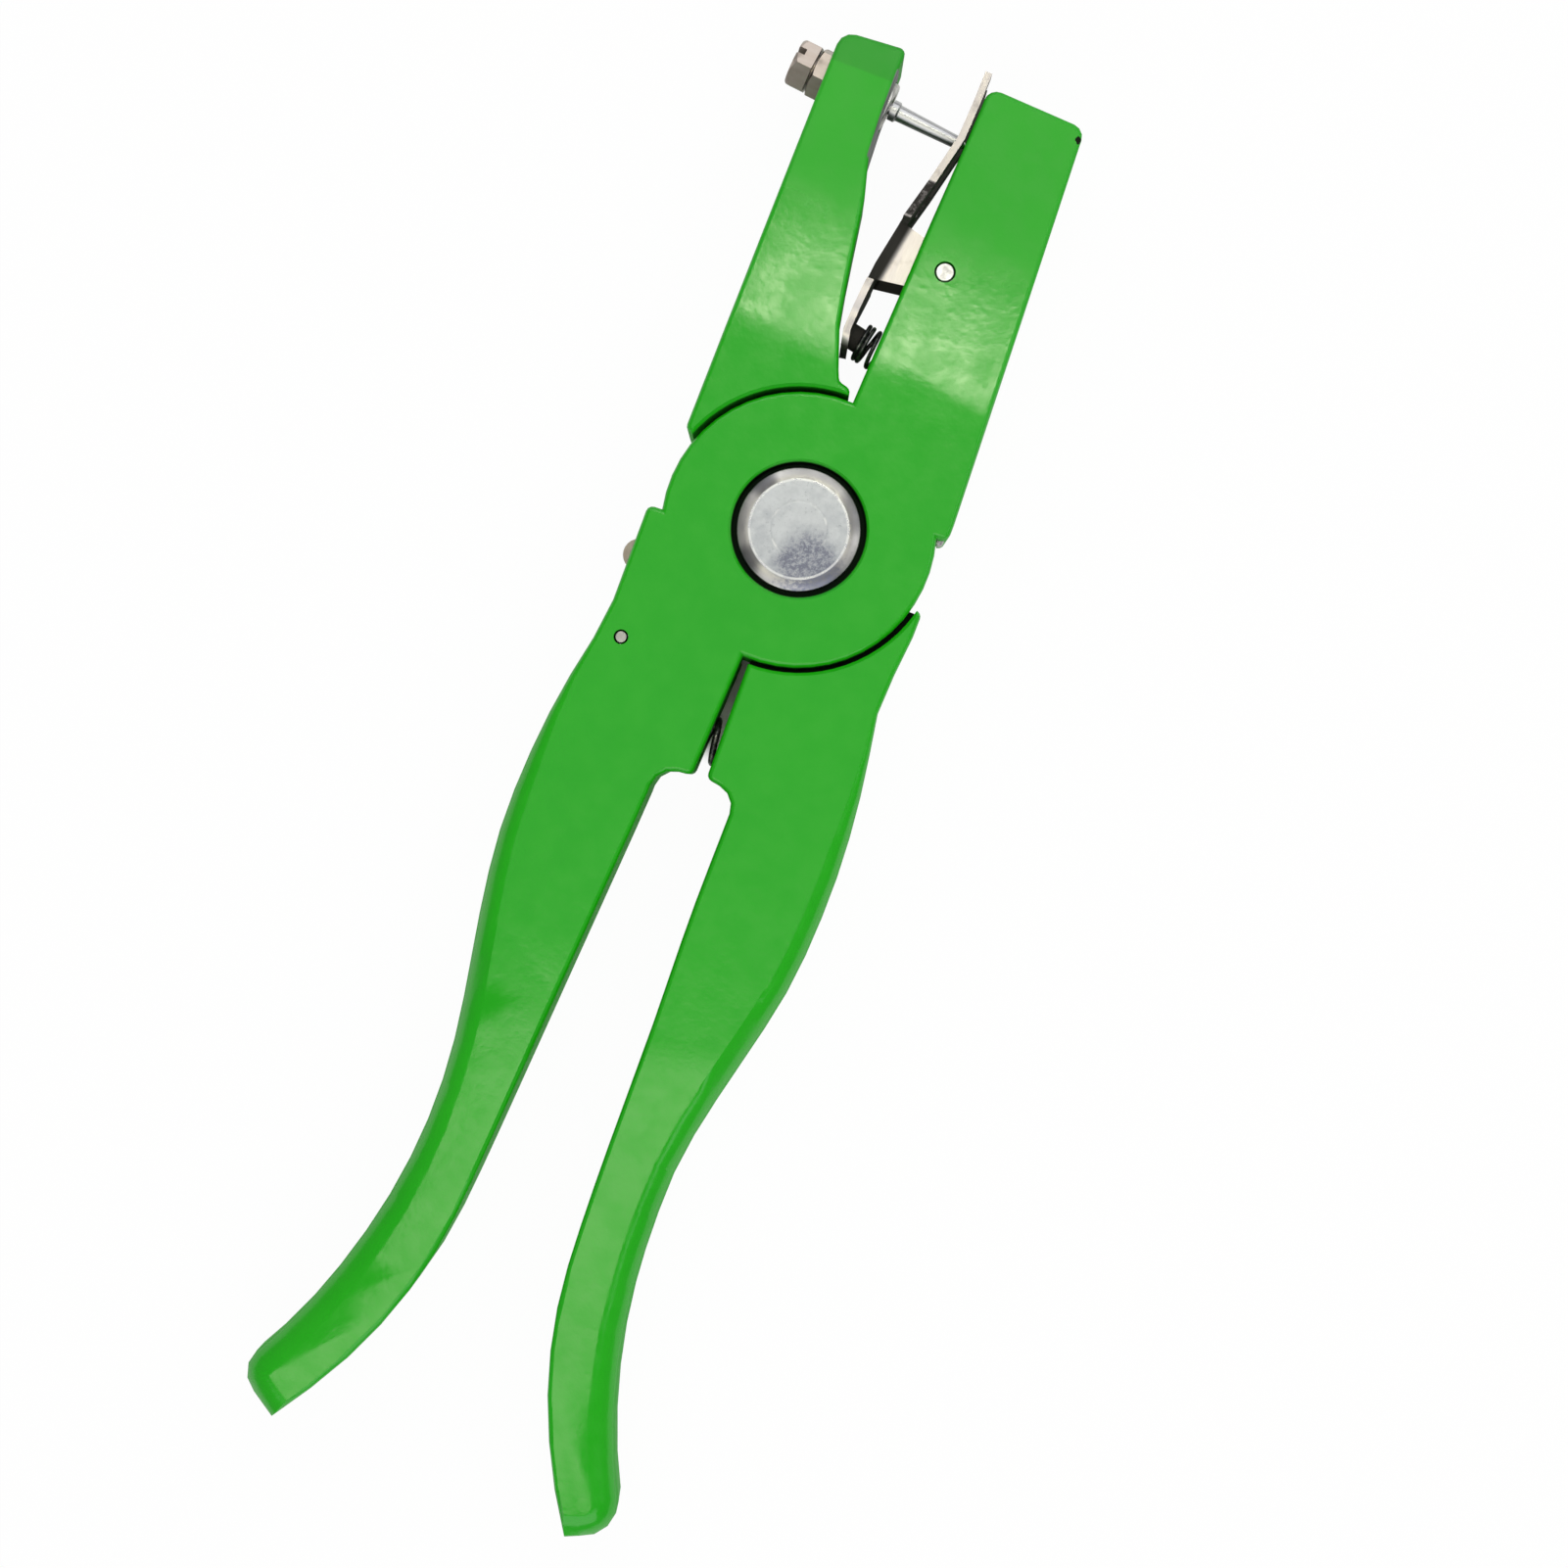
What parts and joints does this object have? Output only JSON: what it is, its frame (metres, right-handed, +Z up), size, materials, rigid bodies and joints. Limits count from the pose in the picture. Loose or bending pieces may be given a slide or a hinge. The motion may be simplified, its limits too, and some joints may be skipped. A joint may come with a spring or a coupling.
{
  "type": "ear tag applicator",
  "caption": "Hand pliers with long curved handles and a disc pivot: one jaw carries a screw-held needle, the other a sprung forked clip.",
  "frame": {"origin": "on the pivot rivet's axis, in the plane of the underside that the tool lies on", "axes": "+Y towards the jaws, +X towards the anvil jaw, +Z up along the pivot's axis"},
  "size_m": [0.0671, 0.2553, 0.0224],
  "materials": {
    "front_lever": "glossy green powder coat on cast aluminium",
    "rear_lever": "glossy green powder coat on cast aluminium",
    "pivot_rivet": "mottled zinc plate",
    "pivot_burr": "zinc plate",
    "thrust_washer": "plain steel",
    "main_spring": "black spring steel",
    "clip_plate": "nickel-plated sheet",
    "clip_axle": "bright steel",
    "clip_spring": "black spring steel",
    "pin_screw": "nickel plate",
    "pin_lock_nut": "nickel plate",
    "pin_bush": "bright steel",
    "applicator_pin": "bright steel",
    "latch": "bright steel",
    "latch_pin": "bright steel",
    "latch_spring": "black spring steel",
    "heel_stop": "bright steel"
  },
  "bodies": {
    "front_lever": {"front_lever": "front_lever", "pivot_rivet": "pivot_rivet", "pivot_burr": "pivot_burr", "thrust_washer": "thrust_washer", "main_spring": "main_spring", "clip_axle": "clip_axle", "clip_spring": "clip_spring", "latch_pin": "latch_pin", "latch_spring": "latch_spring", "heel_stop": "heel_stop"},
    "rear_lever": {"rear_lever": "rear_lever", "pin_bush": "pin_bush", "pin_screw": "pin_screw", "pin_lock_nut": "pin_lock_nut", "applicator_pin": "applicator_pin"},
    "clip": {"clip_plate": "clip_plate"},
    "latch": {"latch": "latch"}
  },
  "joints": [
    {"name": "main_pivot", "type": "hinge", "parent": "front_lever", "child": "rear_lever", "pos_m": [0, 0, 0.011], "axis": [0, 0, 1], "range_deg": [0, 26], "deforming": ["main_spring"]},
    {"name": "clip_pivot", "type": "hinge", "parent": "front_lever", "child": "clip", "pos_m": [0.0074, 0.0491, 0.011], "axis": [0, 0, 1], "range_deg": [0, 12], "stiffness_Nm_per_rad": 0.05, "springref_deg": -17.19, "deforming": ["clip_spring"]},
    {"name": "latch_pivot", "type": "hinge", "parent": "front_lever", "child": "latch", "pos_m": [-0.0213, -0.0274, 0.0053], "axis": [0, 0, 1], "range_deg": [-11, 0], "stiffness_Nm_per_rad": 0.01, "springref_deg": 11.46, "deforming": ["latch_spring"]}
  ]
}
